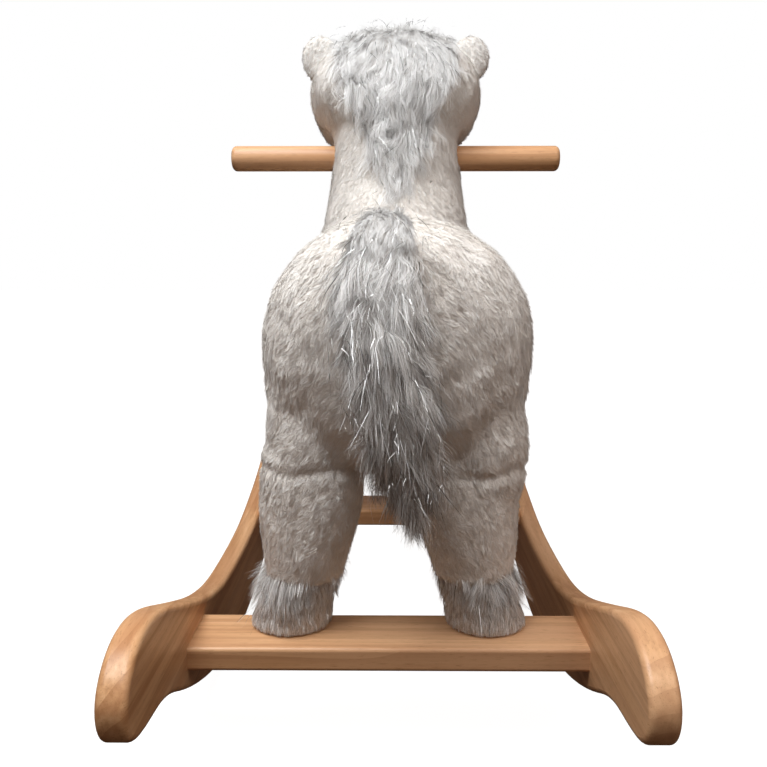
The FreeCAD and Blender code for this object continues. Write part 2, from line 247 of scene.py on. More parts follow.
# ---- strands ------------------------------------------------------------------------------------
def strand_mesh(name, spines, widths, sideways, facing):
    """One mesh of flat strands that taper to a point. spines is (strands, points along, 3).

    Every strand takes its light as the surface that it grows from does, from its facing.
    """
    strands, along, _ = spines.shape
    pairs = along - 1
    front = np.cross(sideways[:, :1], spines[:, along // 2, None] - spines[:, :1])[:, 0]
    turned = np.where((front * facing).sum(axis=1) < 0, -1.0, 1.0)
    sideways = sideways * turned[:, None, None]
    offset = sideways[:, :pairs] * widths[:, :pairs, None] / 2
    left = spines[:, :pairs] - offset
    right = spines[:, :pairs] + offset
    vertices = np.concatenate([left, right, spines[:, -1:]], axis=1)
    per_strand = 2 * pairs + 1
    corner_list = []
    starts = []
    for k in range(pairs - 1):
        starts.append(len(corner_list))
        corner_list += [k, pairs + k, pairs + k + 1, k + 1]
    starts.append(len(corner_list))
    corner_list += [pairs - 1, 2 * pairs - 1, 2 * pairs]
    first_vertex = np.arange(strands)[:, None] * per_strand
    first_corner = np.arange(strands)[:, None] * len(corner_list)
    loops = (first_vertex + np.array(corner_list)).ravel()
    loop_starts = (first_corner + np.array(starts)).ravel()
    mesh = bpy.data.meshes.new(name)
    mesh.vertices.add(strands * per_strand)
    mesh.vertices.foreach_set("co", vertices.ravel())
    mesh.loops.add(len(loops))
    mesh.loops.foreach_set("vertex_index", loops.astype(np.int32))
    mesh.polygons.add(len(loop_starts))
    mesh.polygons.foreach_set("loop_start", loop_starts.astype(np.int32))
    mesh.update(calc_edges=True)
    mesh.shade_smooth()
    lit = mesh.attributes.new("custom_normal", "FLOAT_VECTOR", "POINT")
    lit.data.foreach_set("vector", np.repeat(facing, per_strand, axis=0).astype(np.float32).ravel())
    piece = bpy.data.objects.new(name, mesh)
    bpy.context.collection.objects.link(piece)
    return piece


def scatter(surface, count, rng, keep=None):
    """Random points on a surface, even by area, with their normals. keep thins them out by place."""
    points, normals, triangles = surface
    a, b, c = (points[triangles[:, i]] for i in range(3))
    areas = np.linalg.norm(np.cross(b - a, c - a), axis=1)
    if keep is not None:
        areas = areas * keep((a + b + c) / 3, unit(np.cross(b - a, c - a)))
    chosen = rng.choice(len(triangles), size=count, p=areas / areas.sum())
    u, v = rng.random(count), rng.random(count)
    over = u + v > 1
    u[over], v[over] = 1 - u[over], 1 - v[over]
    weights = np.stack([1 - u - v, u, v], axis=1)[..., None]
    corner_ids = triangles[chosen]
    roots = (points[corner_ids] * weights).sum(axis=1)
    return roots, unit((normals[corner_ids] * weights).sum(axis=1))


def nearest_centre(roots, centres):
    tree = KDTree(len(centres))
    for i, centre in enumerate(centres):
        tree.insert(centre, i)
    tree.balance()
    return np.array([tree.find(root)[1] for root in roots])


def along_surface(direction, normals):
    return unit(direction - normals * (direction * normals).sum(axis=1, keepdims=True))


def comb(roots, normals, direction, rng, wander, wavelength, seed):
    """The way the hair lies: a direction laid flat on the surface, with slow swirls and some mess."""
    swirl = ripple_vectors(roots, wavelength, seed) * wander
    mess = rng.normal(size=roots.shape) * wander * 0.45
    return along_surface(direction + swirl + mess, normals)


def short_pile(surface, count, seed, direction_at, keep=None, length=4.6 * MM, in_a_lock=11):
    """Brushed plush: short strands that lie over in small curved locks."""
    rng = np.random.default_rng(seed)
    roots, normals = scatter(surface, count, rng, keep)
    flow = comb(roots, normals, direction_at(roots, normals), rng, 0.42, 26 * MM, seed)
    locks = rng.choice(count, size=count // in_a_lock, replace=False)
    lock = locks[nearest_centre(roots, roots[locks])]
    size = length * rng.uniform(0.75, 1.25, count) * (1 + 0.08 * ripple(roots, 14 * MM, seed + 7))
    lean_over = np.radians(rng.uniform(11, 25, count))[lock] + np.radians(rng.normal(0, 5, count))
    rise, run = np.sin(lean_over)[:, None], np.cos(lean_over)[:, None]
    lock_tip = roots[lock] + (flow[lock] * run + normals[lock] * rise) * size[:, None]
    steps = np.array([0.0, 0.5, 1.0])
    spines = np.empty((count, len(steps), 3))
    for k, t in enumerate(steps):
        own = roots + (normals * rise * (t - 0.2 * t * t) + flow * run * t) * size[:, None]
        pull = 0.5 * t**1.5
        spines[:, k] = own * (1 - pull) + (roots * (1 - t) + lock_tip * t) * pull
    width = rng.uniform(0.32, 0.55, count)[:, None] * MM * np.array([1.0, 0.85, 0.0])
    side = unit(np.cross(normals, flow) + normals * rng.normal(0, 0.25, count)[:, None])
    sideways = np.repeat(side[:, None], len(steps), axis=1)
    tilt = rng.normal(size=(count, 3)) * 0.11
    facing = unit(normals + tilt[lock] + 0.8 * tilt)
    return spines, width, sideways, facing


def long_pile(roots, normals, flow, length, rng, lift=0.7, droop=0.35, clump=0.55, wave=0.2, floor_z=None,
              points=9, width=0.45 * MM, keep_off=None, in_a_lock=26, uplift=0.0):
    """Long hair: it leaves the cloth, bends over, droops and gathers into pointed locks.

    Real hair takes light from above even where it hangs straight down, and uplift stands for that.
    """
    count = len(roots)
    locks = rng.permutation(count)[: max(count // in_a_lock, 3)]
    lock = locks[nearest_centre(roots, roots[locks])]
    heading = unit(flow + normals * (lift * rng.uniform(0.6, 1.4, count))[:, None])
    curl = rng.normal(size=roots.shape) * wave
    bend = ripple_vectors(roots, 22 * MM, 31) * wave + curl * 0.35
    phase = rng.uniform(0, 2 * math.pi, count)[lock] + rng.normal(0, 0.5, count)
    step = (length / (points - 1))[:, None]
    spines = np.empty((count, points, 3))
    spines[:, 0] = roots
    for k in range(1, points):
        t = k / (points - 1)
        swing = curl[lock] * np.sin(phase + 5.5 * t)[:, None]
        heading = unit(heading - UP * droop * 0.28 + flow * 0.22 * (1 - t) + bend * 0.30 + swing)
        spines[:, k] = spines[:, k - 1] + heading * step
        if keep_off is not None:
            spines[:, k] = pushed_out(spines[:, k], keep_off, 0.6 * MM)
    lengths = np.linspace(0, 1, points)[None, :, None]
    guide = spines[lock]
    offset = spines[:, :1] - guide[:, :1]
    together = guide + offset * (1 - clump * lengths ** 0.8)
    spines = spines * (1 - clump * lengths) + together * clump * lengths
    if floor_z is not None:
        spines[..., 2] = np.maximum(spines[..., 2], floor_z)
    tangent = unit(np.gradient(spines, axis=1))
    outward = unit(normals + rng.normal(size=roots.shape) * 0.45)[:, None]
    sideways = unit(np.cross(tangent, np.broadcast_to(outward, tangent.shape)))
    taper = np.linspace(1, 0, points) ** 0.5
    widths = width * rng.uniform(0.6, 1.3, count)[:, None] * taper
    tilt = rng.normal(size=roots.shape) * 0.20
    facing = unit(normals + tilt[lock] + 0.8 * tilt + UP * np.reshape(uplift, (-1, 1)))
    return spines, widths, sideways, facing


def pushed_out(points, tree, clearance):
    """Moves points that are inside a core, or closer than the clearance, to just outside it."""
    moved = points.copy()
    for i, point in enumerate(points):
        place, normal, _, _ = tree.find_nearest(point)
        depth = (Vector(point) - place).dot(normal)
        if depth < clearance:
            moved[i] = place + normal * clearance
    return moved


def in_shades(name, strands, shades, pick):
    """Splits strands into one mesh for each shade, by the shade's number for each strand."""
    meshes = {}
    for i, shade in enumerate(shades):
        meshes[shade] = strand_mesh(f"{name}_{shade}", *(values[pick == i] for values in strands))
    return meshes


def shade_numbers(shares, count, rng):
    """A random shade for each strand, by the shares of the shades."""
    return rng.choice(len(shares), size=count, p=list(shares.values()))


# ---- materials ----------------------------------------------------------------------------------
class Recipe:
    """A material's nodes, with short calls to add and join them."""

    def __init__(self, name, **values):
        self.material = bpy.data.materials.new(name)
        self.material.use_nodes = True
        self.tree = self.material.node_tree
        self.shader = self.tree.nodes["Principled BSDF"]
        for socket, value in values.items():
            self.shader.inputs[socket.replace("_", " ")].default_value = value
        self.place = self.node("ShaderNodeTexCoord").outputs["Object"]

    def node(self, kind, **settings):
        node = self.tree.nodes.new(kind)
        for key, value in settings.items():
            setattr(node, key, value)
        return node

    def link(self, source, target):
        self.tree.links.new(source, target)

    def stretched(self, scale, shift=(0, 0, 0)):
        mapping = self.node("ShaderNodeMapping")
        mapping.inputs["Scale"].default_value = scale
        mapping.inputs["Location"].default_value = shift
        self.link(self.place, mapping.inputs["Vector"])
        return mapping.outputs["Vector"]

    def noise(self, scale, detail=3.0, roughness=0.5, vector=None, distortion=0.0):
        noise = self.node("ShaderNodeTexNoise")
        noise.inputs["Scale"].default_value = scale
        noise.inputs["Detail"].default_value = detail
        noise.inputs["Roughness"].default_value = roughness
        noise.inputs["Distortion"].default_value = distortion
        self.link(vector or self.place, noise.inputs["Vector"])
        return noise.outputs["Fac"]

    def ramp(self, value, stops):
        ramp = self.node("ShaderNodeValToRGB")
        elements = ramp.color_ramp.elements
        elements[0].position, elements[0].color = stops[0][0], (*stops[0][1], 1)
        elements[1].position, elements[1].color = stops[-1][0], (*stops[-1][1], 1)
        for position, colour in stops[1:-1]:
            elements.new(position).color = (*colour, 1)
        self.link(value, ramp.inputs["Fac"])
        return ramp.outputs["Color"]

    def grey(self, value, low, high, bottom=0.0, top=1.0):
        """A value spread so that low becomes bottom and high becomes top."""
        spread = self.node("ShaderNodeMapRange")
        for socket, number in (("From Min", low), ("From Max", high), ("To Min", bottom), ("To Max", top)):
            spread.inputs[socket].default_value = number
        self.link(value, spread.inputs["Value"])
        return spread.outputs["Result"]

    def blend(self, share, first, second, mode="MIX"):
        mix = self.node("ShaderNodeMix", data_type="RGBA", blend_type=mode)
        for socket, source in ((mix.inputs[0], share), (mix.inputs[6], first), (mix.inputs[7], second)):
            if isinstance(source, (int, float)):
                socket.default_value = source
            elif isinstance(source, tuple):
                socket.default_value = (*source, 1)
            else:
                self.link(source, socket)
        return mix.outputs[2]

    def bump(self, height, distance, strength=1.0):
        bump = self.node("ShaderNodeBump")
        bump.inputs["Distance"].default_value = distance
        bump.inputs["Strength"].default_value = strength
        self.link(height, bump.inputs["Height"])
        self.link(bump.outputs["Normal"], self.shader.inputs["Normal"])

    def colour(self, source):
        self.link(source, self.shader.inputs["Base Color"])

    def roughness(self, source):
        self.link(source, self.shader.inputs["Roughness"])


def along_axis(axis, along, across):
    """A scale that runs one way along the grain axis and another across it."""
    return tuple(along if "XYZ"[i] == axis else across for i in range(3))


def varnished_wood(name, axis, shift):
    """Light rubberwood: growth rings, streaks and short dark pores under satin varnish."""
    wood = Recipe(name, Coat_Weight=0.10, Coat_Roughness=0.42, Specular_IOR_Level=0.35)
    rings = wood.node("ShaderNodeTexWave", wave_type="RINGS", rings_direction=axis, wave_profile="SAW")
    rings.inputs["Scale"].default_value = 26
    rings.inputs["Distortion"].default_value = 7
    rings.inputs["Detail"].default_value = 2
    rings.inputs["Detail Scale"].default_value = 0.6
    wood.link(wood.stretched(along_axis(axis, 0.18, 1.0), shift), rings.inputs["Vector"])
    streaks = wood.noise(1.0, 5, 0.65, wood.stretched(along_axis(axis, 7, 190), shift))
    clouds = wood.noise(1.0, 2, 0.5, wood.stretched(along_axis(axis, 3, 16), shift))
    pores = wood.noise(1.0, 1, 0.5, wood.stretched(along_axis(axis, 110, 1500), shift))
    shades = [(0.25, (0.42, 0.20, 0.085)), (0.5, (0.64, 0.355, 0.175)), (0.75, (0.76, 0.465, 0.26))]
    base = wood.ramp(streaks, shades)
    bands = wood.noise(1.0, 2, 0.5, wood.stretched(along_axis(axis, 2.5, 62), shift), distortion=0.4)
    base = wood.blend(wood.grey(bands, 0.46, 0.62, 0, 0.50), base, (0.44, 0.195, 0.085))
    ringed = wood.blend(wood.grey(rings.outputs["Fac"], 0.55, 1.0, 0, 0.60), base, (0.42, 0.19, 0.08))
    clouded = wood.blend(wood.grey(clouds, 0.42, 0.70, 0, 0.35), ringed, (0.86, 0.56, 0.35))
    pored = wood.blend(wood.grey(pores, 0.62, 0.74, 0, 0.55), clouded, (0.36, 0.17, 0.07))
    wood.colour(pored)
    wood.roughness(wood.grey(streaks, 0.2, 0.8, 0.46, 0.30))
    wood.bump(pores, 0.10 * MM, 0.3)
    return wood.material


def plain_wood(name, axis):
    wood = Recipe(name, Roughness=0.7)
    streaks = wood.noise(1.0, 4, 0.6, wood.stretched(along_axis(axis, 6, 160)))
    wood.colour(wood.ramp(streaks, [(0.3, (0.52, 0.34, 0.18)), (0.7, (0.72, 0.52, 0.31))]))
    wood.bump(streaks, 0.15 * MM, 0.4)
    return wood.material


def plywood(name, axis, thickness_axis):
    """Sheets of veneer: light and dark layers through the thickness, long grain on the faces."""
    wood = Recipe(name, Roughness=0.65)
    layers = wood.node("ShaderNodeTexWave", wave_type="BANDS", bands_direction=thickness_axis)
    layers.inputs["Scale"].default_value = 88
    wood.link(wood.place, layers.inputs["Vector"])
    streaks = wood.noise(1.0, 4, 0.6, wood.stretched(along_axis(axis, 5, 120)))
    face = wood.ramp(streaks, [(0.3, (0.60, 0.42, 0.22)), (0.7, (0.76, 0.57, 0.34))])
    wood.colour(wood.blend(wood.grey(layers.outputs["Fac"], 0.4, 0.6, 0, 0.4), face, (0.35, 0.20, 0.09)))
    wood.bump(streaks, 0.15 * MM, 0.4)
    return wood.material


def zinc_steel():
    steel = Recipe("zinc_steel", Metallic=1.0)
    mottle = steel.noise(420, 3)
    steel.colour(steel.ramp(mottle, [(0.35, (0.50, 0.51, 0.52)), (0.65, (0.72, 0.72, 0.70))]))
    steel.roughness(steel.grey(mottle, 0.3, 0.7, 0.28, 0.48))
    return steel.material


def eye_plastic():
    eye = Recipe("eye_plastic", Roughness=0.08, Coat_Weight=1.0, Coat_Roughness=0.03)
    depth = eye.noise(90, 2)
    eye.colour(eye.ramp(depth, [(0.3, (0.008, 0.005, 0.004)), (0.7, (0.035, 0.018, 0.010))]))
    return eye.material


def backing_cloth(name, light, dark, strength=0.7):
    """The cloth and the dense foot of the pile, seen between the strands: patches of tone at random, and
    painted shade in the hollows between tufts.
    """
    cloth = Recipe(name, Roughness=0.95, Sheen_Weight=0.35, Sheen_Roughness=0.5)
    patches = cloth.noise(30, 4, 0.6)
    tufts = cloth.noise(380, 3, 0.6, distortion=0.8)
    toned = cloth.ramp(patches, [(0.32, dark), (0.68, light)])
    # painted shade: the colour turns darker where the tuft bump is low, in the hollows between tufts
    cloth.colour(cloth.blend(cloth.grey(tufts, 0.35, 0.6, 0.45, 0), toned, dark))
    cloth.bump(tufts, 1.2 * MM, strength)
    return cloth.material


# the glint value is an emission strength: above zero it makes a strand glow as a painted glint
def strand_material(name, colour, roughness=0.75, sheen=0.3, metallic=0.0, painted_glint=0.0):
    return Recipe(
        name, Base_Color=(*colour, 1), Roughness=roughness, Sheen_Weight=sheen, Sheen_Roughness=0.4,
        Metallic=metallic, Specular_IOR_Level=0.25, Emission_Color=(1, 1, 1, 1), Emission_Strength=painted_glint,
    ).material


# ---- wooden frame and hardware ------------------------------------------------------------------
def finish_node(names, material):
    for name in names:
        paint(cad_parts[name], material)


rocker_grain = {"left_rocker": (0.03, 0.4, 0.055), "right_rocker": (0.21, -0.3, 0.040)}
for node, shift in rocker_grain.items():
    finish_node([node], varnished_wood(node + "_wood", "Y", shift))
bar_grain = {
    "rear_crossbar": (0.2, 0.05, 0.03),
    "front_crossbar": (0.6, 0.02, 0.07),
    "handle_bar": (0.1, 0.03, 0.02),
}
for node, shift in bar_grain.items():
    finish_node([node], varnished_wood(node + "_wood", "X", shift))
finish_node(["seat_board"], plywood("seat_board_plywood", "Y", "Z"))
finish_node(["neck_board"], plywood("neck_board_plywood", "Z", "X"))
finish_node(["left_neck_cleat", "right_neck_cleat"], plain_wood("cleat_wood", "Y"))
finish_node([f"{end}_{hand}_leg_post" for end, hand in LEGS], plain_wood("post_wood", "Z"))
screws = ["rocker_bolts", "barrel_nuts", "leg_foot_screws", "leg_top_screws", "neck_screws", "cleat_screws"]
finish_node(screws + ["handle_screw", "eye_washers"], zinc_steel())
finish_node(["left_eye", "right_eye"], eye_plastic())


# ---- plush skin ---------------------------------------------------------------------------------
def torso_shape():
    """The barrel of the body, as shares of the room that the frame keeps for it."""
    stations = [          # share of the length from the chest (0) to the rump (1), width, bottom, top
        (1.0, 0.36, 0.33, 0.72), (0.983, 0.63, 0.19, 0.85), (0.948, 0.84, 0.06, 0.93),
        (0.887, 0.96, 0, 0.985), (0.79, 1, 0, 1), (0.65, 0.97, 0, 0.975), (0.51, 0.905, 0, 0.96),
        (0.343, 0.876, 0, 1), (0.2, 0.867, 0, 0.99), (0.106, 0.80, 0, 0.926),
        (0.047, 0.667, 0.03, 0.82), (0.014, 0.457, 0.137, 0.705), (0, 0.248, 0.25, 0.59),
    ]
    size = torso_high - torso_low - np.array([2, 2, 1]) * pile_depth
    low = torso_low + pile_depth
    middle_x = (torso_low[0] + torso_high[0]) / 2
    rings = []
    for along, wide, bottom, top in stations:
        centre = (middle_x, low[1] + along * size[1], low[2] + (bottom + top) / 2 * size[2])
        half_width, half_height = wide * size[0] / 2, (top - bottom) / 2 * size[2]
        above = ring(centre, (1, 0, 0), UP, half_width, half_height, 2.15)
        below = ring(centre, (1, 0, 0), UP, half_width, half_height, 2.7)
        rings.append(np.where(above[:, 2:] > centre[2], above, below))
    return loft("torso", rings)


def belly_shape():
    """The flat stretch of cloth round the seat board."""
    low, high = corners("seat_board")
    middle_x = (low[0] + high[0]) / 2
    half_width = (high[0] - low[0]) / 2 + 6 * MM
    half_height = 22 * MM
    z = low[2] - 5 * MM + half_height
    stations = [
        (low[1] - 6 * MM, 0.9), (low[1] + 10 * MM, 1.0), (high[1] - 10 * MM, 1.0), (high[1] + 6 * MM, 0.9),
    ]
    rings = []
    for y, share in stations:
        rings.append(ring((middle_x, y, z), (1, 0, 0), UP, half_width * share, half_height, 5))
    return loft("belly", rings)


def leg_shapes():
    shapes = []
    for end, hand in LEGS:
        low, high = corners(f"{end}_{hand}_leg")
        x, y = (low[0] + high[0]) / 2, (low[1] + high[1]) / 2
        top_radius = (high[0] - low[0]) / 2 - 0.7 * pile_depth
        foot_radius = top_radius - 3 * MM
        thigh_at = (x + lean, y, high[2] + 28 * MM)
        shapes.append(ball("thigh", thigh_at, (34 * MM, 35 * MM, 70 * MM)))
        stations = [
            (x, y, high[2] + 20 * MM, top_radius, top_radius),
            (x, y, low[2], foot_radius, foot_radius),
        ]
        shapes.append(tube("leg", stations))
        inward = -np.sign(x)
        stations = [          # mm towards the middle, up from the leg's top, narrower than it
            (12, 14, 0), (10, -10, 0), (5, -38, 1), (0, -62, 2),
        ]
        for i, (across, rise, narrower) in enumerate(stations):
            radius = top_radius - narrower * MM
            stations[i] = (x + inward * across * MM, y, high[2] + rise * MM, radius, radius)
        shapes.append(tube("inner thigh", stations))
    return shapes


def neck_shape():
    x, y, z = handle_at
    stations = [          # back and up from the handle, half width, half thickness
        (10, -129, 82, 84), (4, -84, 77, 80), (0, -54, 71, 68), (-2, -24, 65.5, 58), (-4, 11, 62, 54),
        (-8, 51, 58, 51),
    ]
    return tube("neck", [(x, y + a * MM, z + b * MM, c * MM, d * MM) for a, b, c, d in stations])


def head_shape():
    """Back of the skull to the muzzle along a line that drops forward."""
    stations = [          # along the head, half width, half height
        (0, 38, 29), (8, 62, 42), (24, 79, 49), (55, 86, 56), (90, 83, 58), (125, 67, 51),
        (160, 51, 44), (200, 44, 40), (228, 40, 36), (244, 28, 26), (250, 16, 14),
    ]
    drop = math.radians(20)
    along = np.array([0, -math.cos(drop), -math.sin(drop)])
    upward = np.array([0, -math.sin(drop), math.cos(drop)])
    start = handle_at + np.array([0, 40, 83]) * MM
    rings = [ring(start + along * a * MM, (1, 0, 0), upward, b * MM, c * MM, 2.2) for a, b, c in stations]
    return loft("head", rings)


skin = merged("skin", [torso_shape(), belly_shape(), neck_shape(), head_shape()] + leg_shapes(), 3 * MM, 12)


def shape_skin():
    """Sewn folds, the stuffing's lumps and the swell of the lower legs."""
    points, normals, _ = arrays(skin)
    x, y, z = points[:, 0] - lean, points[:, 1], points[:, 2]
    lower = np.clip((z - cuff_z) / (crease_z - cuff_z), 0, 1)
    on_leg = z < crease_z
    height = np.where(on_leg, 2.5 * MM * np.sin(math.pi * lower), 0)
    behind = y > rear_y - 60 * MM
    sag = 3.0 * MM * ripple(points * np.array([1, 1, 0]), 60 * MM, 5)
    crease = bell(z + sag, crease_z, 3.5 * MM) * (normals[:, 2] > -0.75) * (behind | on_leg)
    height -= 1.9 * MM * crease
    height -= 6.0 * MM * np.clip((cuff_z + 5 * MM - z) / (9 * MM), 0, 1)
    on_neck = (np.abs(x) < 75 * MM) & (z > torso_high[2])
    height -= 1.0 * MM * bell(z + 0.16 * np.abs(x), neck_seam_z, 3.5 * MM) * on_neck
    height += 0.9 * MM * ripple(points, 80 * MM, 11) + 0.1 * MM * ripple(points, 24 * MM, 12)
    rump = np.clip((y - 60 * MM) / (90 * MM), 0, 1) * (z > crease_z)
    folds = ripple(np.stack([x + 0.5 * z, y * 0.5, z * 2 - 0.8 * np.abs(x)], axis=1), 60 * MM, 15)
    height += 0.4 * MM * folds * rump
    cleft = bell(x, 0, 17 * MM) * rump * np.clip((dock_at[2] - z) / (60 * MM), 0, 1)
    height -= 6.0 * MM * cleft
    move_points(skin, points + normals * height[:, None])


shape_skin()
skin_surface = arrays(skin)
skin_tree = BVHTree.FromPolygons([Vector(p) for p in skin_surface[0]], skin_surface[2].tolist())

cream_backing = backing_cloth("cream_backing", (0.92, 0.895, 0.865), (0.80, 0.75, 0.70))
leg_cut = leg_top - 1.5 * MM
neck_cut = torso_high[2] + 3 * MM
cream_pieces = {
    "torso_skin": (["torso_plush"], [((0, 0, neck_cut), (0, 0, 1)), ((0, 0, leg_cut), (0, 0, -1))]),
    "head_and_neck_skin": (["neck_plush", "head_plush"], [((0, 0, neck_cut), (0, 0, -1))]),
}
for end, hand in LEGS:
    sideways = 1 if hand == "left" else -1
    lengthways = 1 if end == "rear" else -1
    planes = [((0, 0, leg_cut), (0, 0, 1)), ((0, 0, 0), (-sideways, 0, 0)), ((0, 0, 0), (0, -lengthways, 0))]
    cream_pieces[f"{end}_{hand}_leg_skin"] = ([f"{end}_{hand}_leg"], planes)
for name, (nodes, planes) in cream_pieces.items():
    piece = cut_out(skin, name, planes)
    paint(piece, cream_backing)
    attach(piece, "horse")
    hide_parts(*nodes)
bpy.data.objects.remove(skin)


# ---- ears ---------------------------------------------------------------------------------------
def ear(hand):
    """A soft leaf with a hollow on its front side."""
    side = 1 if hand == "left" else -1
    low, high = corners(f"{hand}_ear")
    centre = (low + high) / 2
    foot = np.array([centre[0] - side * 6 * MM, centre[1], low[2] - 3 * MM])
    tip = np.array([centre[0] + side * 5 * MM, centre[1], high[2] - 1.5 * MM])
    stations = [              # share of the length, half width, half thickness
        (0.0, 11, 6), (0.2, 17, 8), (0.45, 20, 8), (0.7, 18.5, 7), (0.88, 13, 5.5), (0.97, 7, 3.5),
        (1.0, 3, 2),
    ]
    upward = unit(tip - foot)
    across = unit(np.cross(np.array([0, 1.0, 0]), upward))
    rings = []
    for share, wide, thick in stations:
        outline = ring(foot + (tip - foot) * share, across, (0, 1, 0), wide * MM, thick * MM)
        offset = ((outline - foot) @ across) / (wide * MM)
        depth = 5 * MM * math.sin(math.pi * min(share + 0.1, 1))
        hollow = depth * (1 - offset**2) * (outline[:, 1] < foot[1])
        outline[:, 1] += hollow
        rings.append(outline)
    shape = merged(f"{hand}_ear_skin", [loft("ear", rings)], 1.5 * MM, 3)
    paint(shape, cream_backing)
    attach(shape, "horse")
    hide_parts(f"{hand}_ear")
    return arrays(shape)


ear_surfaces = [ear("left"), ear("right")]

# ---- face ---------------------------------------------------------------------------------------
def thread(name, guesses, thickness, closed=False):
    """A line of embroidery on the skin, near the points given."""
    data = bpy.data.curves.new(name, "CURVE")
    data.dimensions = "3D"
    data.bevel_depth = thickness / 2
    data.bevel_resolution = 2
    spline = data.splines.new("NURBS")
    spline.points.add(len(guesses) - 1)
    for point, guess in zip(spline.points, guesses):
        place, normal, _, _ = skin_tree.find_nearest(Vector(guess))
        point.co = (*(place + normal * 2.4 * MM), 1)
    spline.order_u = 3
    spline.use_endpoint_u = not closed
    spline.use_cyclic_u = closed
    line = bpy.data.objects.new(name, data)
    bpy.context.collection.objects.link(line)
    graph = bpy.context.evaluated_depsgraph_get()
    piece = bpy.data.objects.new(name, bpy.data.meshes.new_from_object(line.evaluated_get(graph)))
    bpy.data.objects.remove(line)
    bpy.context.collection.objects.link(piece)
    piece.data.shade_smooth()
    paint(piece, stitching)
    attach(piece, "horse")


def embroidery_thread():
    cotton = Recipe("embroidery_thread", Roughness=0.8, Sheen_Weight=0.3)
    twist = cotton.noise(900, 2)
    cotton.colour(cotton.ramp(twist, [(0.35, (0.16, 0.13, 0.12)), (0.65, (0.28, 0.24, 0.22))]))
    cotton.bump(twist, 0.3 * MM, 0.6)
    return cotton.material


stitching = embroidery_thread()
nose = handle_at + np.array([0, -193, 3]) * MM      # just in front of the muzzle
smile = [(x, 0, -15 + 9 * (x / 24) ** 2) for x in range(-24, 25, 8)]
thread("mouth_stitch", [nose + np.array(at) * MM for at in smile], 2.2 * MM)
for hand, side in (("left", 1), ("right", -1)):
    turns = [2 * math.pi * i / 8 for i in range(8)]
    oval = [(side * (17 + 3.2 * math.cos(a)), 0, 12 + 5 * math.sin(a)) for a in turns]
    thread(f"{hand}_nostril_stitch", [nose + np.array(at) * MM for at in oval], 2.6 * MM, closed=True)


# ---- short pile ---------------------------------------------------------------------------------
def plush_flow(roots, normals):
    """Brushed out from the spine, to the rear and down."""
    side = np.tanh((roots[:, 0] - lean) / (25 * MM))
    return np.stack([0.75 * side, np.full(len(roots), 0.30), np.full(len(roots), -1.0)], axis=1)


def above_boots(centres, normals):
    return (centres[:, 2] > cuff_z - 1 * MM) * 1.0


plush_shades = {"white": 0.28, "pale": 0.27, "cream": 0.27, "grey": 0.18}
shade_colours = {
    "white": (0.96, 0.955, 0.94),
    "pale": (0.94, 0.92, 0.89),
    "cream": (0.91, 0.87, 0.82),
    "grey": (0.82, 0.79, 0.76),
}
pile_materials = {shade: strand_material(f"pile_{shade}", colour) for shade, colour in shade_colours.items()}


def show_strands(meshes, materials, body):
    for shade, piece in meshes.items():
        paint(piece, materials[shade])
        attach(piece, body)


body_pile = short_pile(skin_surface, 225000, 21, plush_flow, above_boots)
pick = shade_numbers(plush_shades, len(body_pile[0]), np.random.default_rng(22))
show_strands(in_shades("body_pile", body_pile, plush_shades, pick), pile_materials, "horse")
ear_shades = {"white": 0.6, "pale": 0.4}
for hand, surface in zip(("left", "right"), ear_surfaces):
    ear_pile = short_pile(surface, 3600, 23, plush_flow, length=3.6 * MM)
    pick = shade_numbers(ear_shades, len(ear_pile[0]), np.random.default_rng(24))
    meshes = in_shades(f"{hand}_ear_pile", ear_pile, ear_shades, pick)
    show_strands(meshes, pile_materials, "horse")

# ---- silver long pile ---------------------------------------------------------------------------
silver_shades = ("light", "mid", "dark")
silver_materials = {
    "light": strand_material("silver_light", (0.86, 0.86, 0.86), 0.5, 0.3),
    "mid": strand_material("silver_mid", (0.74, 0.72, 0.70), 0.55, 0.3),
    "dark": strand_material("silver_dark", (0.38, 0.34, 0.315), 0.6, 0.2),
}
tinsel_materials = {      # the glint strands glow with emission, a painted glint standing in for the film mirroring a lamp
    "painted_glint": strand_material("tinsel_painted_glint", (0.95, 0.95, 0.96), 0.3, 0.0, 0.3, 1.1),
    "bright": strand_material("tinsel_bright", (0.95, 0.95, 0.96), 0.3, 0.0, 0.3),
    "dark": strand_material("tinsel_dark", (0.06, 0.055, 0.055), 0.35, 0.0, 0.3),
}
tinsel_shares = {"painted_glint": 0.24, "bright": 0.31, "dark": 0.45}
painted_glint_length = 0.28       # of a whole strand: the glowing, painted glint covers only a part of it, as a bent film mirrors the lamp along a part of it


def add_tinsel(name, roots, normals, flow, length, rng, body, pile_height, **settings):
    """Flat strands of metallic film, made only where they come out of the pile."""
    roots = roots + normals * (rng.uniform(0.3, 1.0, len(roots)) * pile_height)[:, None]
    settings = {"clump": 0.0, "width": 0.42 * MM, "wave": 0.08, "uplift": 0.9, **settings}
    pick = shade_numbers(tinsel_shares, len(roots), rng)
    length = length * np.where(pick == 0, painted_glint_length, 1)
    astray = unit(flow + rng.normal(size=flow.shape) * 0.3)
    spines, widths, sideways, facing = long_pile(roots, normals, astray, length, rng, **settings)
    sideways = unit(sideways + rng.normal(size=sideways.shape) * 0.5)
    strands = spines, widths, sideways, unit(facing + rng.normal(size=facing.shape) * 0.35)
    show_strands(in_shades(name, strands, tinsel_shares, pick), tinsel_materials, body)


